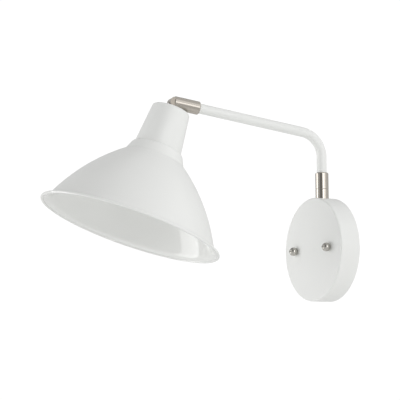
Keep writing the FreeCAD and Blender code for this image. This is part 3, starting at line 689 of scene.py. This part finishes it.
def makeBell():
    outline, innerFrom = bellOutline(bell)
    holder = spunHolder(outline, finishes["shade_paint"], bell["segments"], innerFrom)
    finishedPiece("shadeBell", bakedMesh(holder, shadeFrame, sharp=60), "shade", "shade_bell")


# Neck of the shade: a drawn cup with a soft top edge.

neck = {"wall": 1.0, "hole": 5.25, "top": 8.8, "topRadius": 22.7, "edge": 3.2, "foot": (28.3, 59.8),
        "tuck": 1.02, "tuckEdge": 0.3, "flange": 0.9, "segments": 128}


def makeNeck():
    n = neck
    foot = n["foot"]
    low = -foot[1] - n["tuck"]
    path = softPath([(n["hole"], -n["top"], 0), (n["topRadius"], -n["top"], n["edge"]),
                     (foot[0], -foot[1], 0), (foot[0], low, n["tuckEdge"]), (foot[0] + n["flange"], low, 0)])
    outline = path + otherSide(path, n["wall"])[::-1]
    holder = spunHolder(outline, finishes["shade_paint"], n["segments"], len(path))
    finishedPiece("neckCup", bakedMesh(holder, shadeFrame, sharp=50), "shade", "neck_cup")


# Arm tube.

tube = {"radius": 6.0, "wall": 1.0, "bend": 30.0, "corner": 139.0, "behindPin": 16.7, "bendSteps": 28,
        "sides": 64}


def makeArm():
    t = tube
    corner = Vector((postAxis.x, postAxis.y, t["corner"] * mm))
    foot = Vector((corner.x, corner.y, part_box("arm_tube")[0].z))
    end = pin - (pin - corner).normalized() * t["behindPin"] * mm
    holder = drawnLine([foot / mm, corner / mm, end / mm])
    addTree(holder, bendTube, tubeRadius=t["radius"] * mm, bendRadius=t["bend"] * mm,
            bendSteps=t["bendSteps"], sides=t["sides"], finish=finishes["white_paint"])
    wall = holder.modifiers.new("wall", "SOLIDIFY")
    wall.thickness = t["wall"] * mm
    wall.offset = -1                                                 # the wall goes inwards
    finishedPiece("armTube", bakedMesh(holder, Matrix.Identity(4), sharp=50), "arm", "arm_tube")


# Ball nuts on the canopy's face, and the studs that they are on.

ballNut = {"radius": 5.3, "centre": 3.9, "button": 1.5, "buttonEdge": 0.25, "seat": 0.02, "steps": 28,
           "segments": 64}
stud = {"radius": 2.0, "pitch": 0.7, "depth": 0.35, "tipChamfer": 0.4, "skin": 0.05, "perPitch": 5,
        "segments": 28}


def makeBallNuts():
    b = ballNut
    face, top = -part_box("canopy_cover")[0].y / mm, -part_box("canopy_ball_nuts")[0].y / mm
    radius, centre, foot = b["radius"], face + b["centre"], face + b["seat"]
    start = math.pi - math.acos(b["centre"] / radius)
    sweep = start - math.asin(b["button"] / radius)
    turns = [start - sweep * i / b["steps"] for i in range(b["steps"] + 1)]
    ball = [(radius * math.sin(t), centre + radius * math.cos(t)) for t in turns]
    button = [(b["button"], top - b["buttonEdge"]), (b["button"] - b["buttonEdge"], top), (0, top)]
    outline = [(0, foot), (ball[0][0], foot)] + ball[1:] + button
    holder = spunHolder(outline, finishes["polished_nickel"], b["segments"])
    addPair(holder, "canopy_ball_nuts", 2 * radius, finishes["polished_nickel"])
    finishedPiece("canopyBallNuts", bakedMesh(holder, canopyFrame, sharp=40), "canopy", "canopy_ball_nuts")


def makeStuds():
    s = stud
    tip = -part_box("canopy_studs")[0].y / mm
    r, c = s["radius"], s["tipChamfer"]
    outline = [(0, 0), (r, 0), (r, tip - c), (r - c, tip), (0, tip)]
    holder = spunHolder(withRings(outline, s["pitch"] / s["perPitch"]), finishes["zinc_steel"], s["segments"])
    addThread(holder, s, -1, tip, s["pitch"], r, s["skin"], finishes["zinc_steel"])
    addPair(holder, "canopy_studs", 2 * r, finishes["zinc_steel"])
    finishedPiece("canopyStuds", bakedMesh(holder, canopyFrame), "canopy", "canopy_studs")


# Hollow threaded spindle of the swivel.

spindle = {"radius": 5.0, "bore": 3.5, "headRadius": 5.75, "head": 1.5, "pitch": 1.0, "depth": 0.5,
           "threadTop": 66.0, "edge": 0.3, "footEdge": 0.4, "headEdge": 0.1, "skin": 0.05, "perPitch": 5,
           "segments": 56}


def makeSpindle():
    s = spindle
    low, high = (c.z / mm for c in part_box("swivel_spindle"))
    r, b, head, seat = s["radius"], s["bore"], s["headRadius"], high - s["head"]
    ring = softLoop([(b, low, s["edge"]), (r, low, s["footEdge"]), (r, seat, 0), (head, seat, s["headEdge"]),
                     (head, high, s["edge"]), (b, high, s["edge"])])
    holder = spunHolder(withRings(ring, s["pitch"] / s["perPitch"]), finishes["zinc_steel"], s["segments"])
    addThread(holder, s, low - 1, s["threadTop"], s["pitch"], r, s["skin"], finishes["zinc_steel"])
    finishedPiece("swivelSpindle", bakedMesh(holder, postFrame), "canopy", "swivel_spindle")


# Screw shell of the lamp holder, rolled from thin brass.

shell = {"radius": 13.3, "wall": 0.4, "pitch": 3.63, "depth": 0.75, "perPitch": 12, "segments": 96}


def alongShade(node):
    # where a node starts and ends on the shade's axis
    inverse = shadeFrame.inverted()
    heights = [(inverse @ v.co).z for v in frame["nodes"][node].data.vertices]
    return min(heights) / mm, max(heights) / mm


def makeShell():
    s = shell
    low, high = alongShade("holder_screw_shell")
    r, out = s["radius"], s["radius"] + s["wall"]
    outline = withRings([(r, low), (out, low), (out, high), (r, high)], s["pitch"] / s["perPitch"])
    holder = spunHolder(outline, finishes["brass"], s["segments"])
    addThread(holder, s, low, high, s["pitch"] / 2, (r + out) / 2, s["wall"], finishes["brass"])
    finishedPiece("holderScrewShell", bakedMesh(holder, shadeFrame), "shade", "holder_screw_shell")


# Twist-on wire connectors: ribbed cones, closed at the narrow end.

connector = {"mouth": 5.5, "tip": 3.2, "tipEdge": 1.2, "skirtStep": 0.1, "skirt": 4.0, "collar": 3.4,
             "collarEdge": 0.2, "mouthEdge": 0.4, "bore": 3.4, "boreEnd": 2.8, "boreDepth": 9.0,
             "drillEnd": 9.5, "edge": 0.3, "ribs": 14, "ribDepth": 0.45, "ribFade": 1.5, "ribReach": 1.4,
             "ring": 0.8, "segments": 84}


def makeConnectors():
    c = connector
    finish = finishes["connector_plastic"]
    low, high = (p.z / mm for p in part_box("wire_connectors"))
    collar = high - c["collar"]
    skirt, skirtFoot = c["mouth"] - c["skirtStep"], high - c["skirt"]
    outline = softLoop([(0, low, 0), (c["tip"], low, c["tipEdge"]), (skirt, skirtFoot, 0),
                        (c["mouth"], collar, c["collarEdge"]), (c["mouth"], high, c["mouthEdge"]),
                        (c["bore"], high, c["edge"]), (c["boreEnd"], high - c["boreDepth"], c["edge"]),
                        (0, high - c["drillEnd"], 0)])
    holder = spunHolder(withRings(outline, c["ring"]), finish, c["segments"])
    addTree(holder, raiseRibs, count=c["ribs"], height=c["ribDepth"] * mm, low=(low + 1) * mm,
            high=collar * mm, fade=c["ribFade"] * mm, radius=(c["mouth"] + c["tip"]) / 2 * mm,
            skin=c["ribReach"] * mm, finish=finish)
    addPair(holder, "wire_connectors", 2 * c["mouth"], finish)
    upright = framedBy((postAxis.x, postAxis.y, 0), (1, 0, 0), (0, 0, 1))
    finishedPiece("wireConnectors", bakedMesh(holder, upright, sharp=50), "canopy", "wire_connectors")


# Machined and stamped pieces keep the frame's own shape, and lose the knife edges that a tool takes off.

softEdges = {
    "canopy": {"mounting_crossbar": 0.25, "stud_lock_nuts": 0.1, "spindle_lock_nut": 0.12,
               "ground_screw": 0.1, "spindle_saddle_washer": 0.15},
    "shade": {"stem_lock_nut": 0.12, "holder_body": 0.35, "holder_cap": 0.3, "holder_terminal_screws": 0.1},
}


def makeSoftened(node, body, width):
    work = bmesh.new()
    work.from_mesh(frame["nodes"][node].data)
    bmesh.ops.remove_doubles(work, verts=work.verts, dist=0.002 * mm)
    bmesh.ops.dissolve_limit(work, angle_limit=math.radians(0.5), verts=work.verts, edges=work.edges)
    mesh = bpy.data.meshes.new(node)
    work.to_mesh(mesh)
    work.free()
    mesh.materials.append(finishes[slotOf[node]])
    holder = newObject("softened", mesh)
    bevel = holder.modifiers.new("edges", "BEVEL")
    bevel.width = width * mm
    bevel.segments = 2
    bevel.limit_method = "ANGLE"
    bevel.angle_limit = math.radians(40)
    first, *others = node.split("_")
    name = first + "".join(word.capitalize() for word in others)
    finishedPiece(name, bakedMesh(holder, Matrix.Identity(4), sharp=32, closed=False), body, node)


# Knuckle barrel: its ears are milled flat on their cheeks, and the rest is drawn bright. The cheeks get a rougher
# nickel painted much darker: painted shade that stands in for the dark reflection on them.

knuckle = {"cheek": 6.6, "near": 0.15, "square": 0.9995}


def makeKnuckleBarrel():
    k = knuckle
    mesh = frame["nodes"]["knuckle_barrel"].data.copy()
    # the cheeks take the darker nickel: painted shade for their dark reflection
    mesh.materials.append(finishes["milled_nickel"])
    for face in mesh.polygons:
        fromMiddle = abs((face.center - pin).dot(pinAxis)) / mm
        isFlat = abs(face.normal.dot(pinAxis)) > k["square"]
        if isFlat and abs(fromMiddle - k["cheek"]) < k["near"]:
            face.material_index = 1
    finishedPiece("knuckleBarrel", mesh, "arm", "knuckle_barrel")


makeBell()
makeNeck()
makeKnuckleBarrel()
makeArm()
makeBallNuts()
makeStuds()
makeSpindle()
makeShell()
makeConnectors()
for bodyName, nodes in softEdges.items():
    for nodeName, edge in nodes.items():
        makeSoftened(nodeName, bodyName, edge)


# Studio: a pale floor far below the lamp, soft boxes round it, and white beyond.

studio = {"floorSize": 24.0, "floorDrop": 1.4, "floorColor": (0.8, 0.8, 0.79, 1),
          "floorShade": (0.784, 0.784, 0.7742, 1), "floorGlow": 0.26, "floorPaler": 0.4, "ceiling": 0.34,
          "ceilingFrom": 0.6, "ceilingFull": 0.85, "beyond": 1.05}
# how bright the room is at each turn from the camera's side, in degrees, to its right
roomGreys = {-180: 0.6, -130: 0.6, -75: 0.75, -50: 0.6, -36: 0.24, -10: 0.18, 4: 0.5, 40: 0.9, 90: 0.85,
             135: 0.6, 180: 0.6}
softBoxes = {
    # turn and rise are degrees from the camera's side, to its right and up; light is how bright the box looks
    "leftBox": {"turn": -101, "rise": -3, "far": 1.6, "size": (0.9, 1.8), "light": 2.2},
    "frontBox": {"turn": 21, "rise": 6, "far": 1.9, "size": (0.46, 1.9), "light": 2.4},
    "rightBox": {"turn": 44, "rise": 11, "far": 1.8, "size": (1.0, 0.7), "light": 1.1},
    "topBox": {"turn": 80, "rise": 62, "far": 1.8, "size": (2.6, 2.6), "light": 0.42},
}


def aimedFrom(turn, rise):
    turn, rise = math.radians(turn), math.radians(rise)
    front = Vector((towardCamera.x, towardCamera.y, 0)).normalized()
    flat = front * math.cos(turn) + toTheRight * math.sin(turn)
    return flat * math.cos(rise) + Vector((0, 0, math.sin(rise)))


def addSoftBox(name, box):
    middle = (cadBounds[0] + cadBounds[1]) / 2
    way = aimedFrom(box["turn"], box["rise"])
    data = bpy.data.lights.new(name, "AREA")
    data.shape = "RECTANGLE"
    data.size, data.size_y = box["size"]
    data.energy = box["light"] * math.pi * data.size * data.size_y
    light = newObject(name, data)
    light.location = middle + way * box["far"]
    light.rotation_mode = "QUATERNION"
    light.rotation_quaternion = way.to_track_quat("Z", "Y")


def addFloor():
    half = studio["floorSize"] / 2
    drop = cadBounds[0].z - studio["floorDrop"]
    mesh = bpy.data.meshes.new("floor")
    corners = [(-half, -half, drop), (half, -half, drop), (half, half, drop), (-half, half, drop)]
    mesh.from_pydata(corners, [], [(0, 1, 2, 3)])
    material, tree, shader = newFinish("paleFloor")
    place = addNode(tree, "ShaderNodeTexCoord").outputs["Object"]
    patches = noiseNode(tree, place, 3.0, 2.0)
    color = mixedColor(tree, patches, studio["floorColor"], studio["floorShade"])
    feed(tree, shader.inputs["Base Color"], color)
    shader.inputs["Roughness"].default_value = 0.9
    shader.inputs["Emission Color"].default_value = (1, 1, 1, 1)
    seen = addNode(tree, "ShaderNodeLightPath").outputs["Is Camera Ray"]
    glow = mathNode(tree, "MULTIPLY_ADD", seen, studio["floorPaler"], studio["floorGlow"])
    feed(tree, shader.inputs["Emission Strength"], glow)
    mesh.materials.append(material)
    newObject("floor", mesh)


def addSky():
    # white where the camera looks past the lamp, and a room of greys for what lights and reflects
    world = bpy.data.worlds.new("studioWorld")
    world.use_nodes = True
    tree = world.node_tree
    tree.nodes.clear()
    way = addNode(tree, "ShaderNodeTexCoord").outputs["Generated"]

    def toward(turn, rise):
        dot = addNode(tree, "ShaderNodeVectorMath", operation="DOT_PRODUCT")
        feed(tree, dot.inputs[0], way)
        dot.inputs[1].default_value = aimedFrom(turn, rise)
        return dot.outputs["Value"]

    ahead, aside = toward(0, 0), toward(90, 0)
    turn = mathNode(tree, "DIVIDE", mathNode(tree, "ARCTAN2", aside, ahead), 2 * math.pi)
    ramp = addNode(tree, "ShaderNodeValToRGB")
    feed(tree, ramp.inputs["Fac"], mathNode(tree, "ADD", turn, 0.5))
    ramp.color_ramp.interpolation = "B_SPLINE"
    stops = ramp.color_ramp.elements
    while len(stops) < len(roomGreys):
        stops.new(0.5)
    for stop, (angle, grey) in zip(stops, sorted(roomGreys.items())):
        stop.position = angle / 360 + 0.5
        stop.color = (grey, grey, grey, 1)
    height = toward(0, 90)
    start, full = studio["ceilingFrom"], studio["ceilingFull"]
    low = mappedTo(tree, height, start, full, 1.0, 0.0)
    above = mappedTo(tree, height, start, full, 0.0, studio["ceiling"])
    level = mathNode(tree, "MULTIPLY_ADD", ramp.outputs["Color"], low, above)
    room = addNode(tree, "ShaderNodeBackground")
    feed(tree, room.inputs["Color"], joined(tree, level, level, level))
    white = addNode(tree, "ShaderNodeBackground")
    white.inputs["Color"].default_value = (1, 1, 1, 1)
    white.inputs["Strength"].default_value = studio["beyond"]
    mix = addNode(tree, "ShaderNodeMixShader")
    feed(tree, mix.inputs[0], addNode(tree, "ShaderNodeLightPath").outputs["Is Camera Ray"])
    feed(tree, mix.inputs[1], room.outputs[0])
    feed(tree, mix.inputs[2], white.outputs[0])
    feed(tree, addNode(tree, "ShaderNodeOutputWorld").inputs["Surface"], mix.outputs[0])
    bpy.context.scene.world = world


for boxName, box in softBoxes.items():
    addSoftBox(boxName, box)
addFloor()
addSky()
bpy.context.scene.view_settings.view_transform = "Standard"
print("studio lit")
